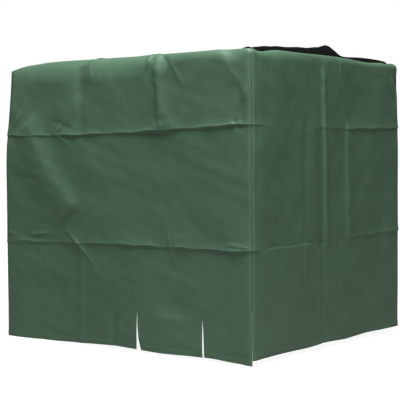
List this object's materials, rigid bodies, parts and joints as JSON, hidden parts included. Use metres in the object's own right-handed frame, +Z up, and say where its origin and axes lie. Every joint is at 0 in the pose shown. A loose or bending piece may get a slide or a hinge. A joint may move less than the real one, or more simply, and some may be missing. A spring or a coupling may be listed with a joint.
{
  "type": "fitted water tank cover",
  "caption": "Loose green cloth cover for a caged 1000 litre water tank, with a slack black top, pressed creases and a tap flap cut into the hem.",
  "frame": {"origin": "under the middle of the top, where the cloth rests on the tank", "axes": "+Z up, the front wall with the tap flap faces -Y, the right wall faces +X"},
  "size_m": [1.2996, 1.0997, 1.1909],
  "materials": {
    "green_cloth": "matte",
    "black_cloth": "matte"
  },
  "bodies": {
    "root": {"front_wall": "green_cloth", "right_wall": "green_cloth", "back_wall": "green_cloth", "left_wall": "green_cloth", "top_panel": "black_cloth"}
  },
  "joints": []
}
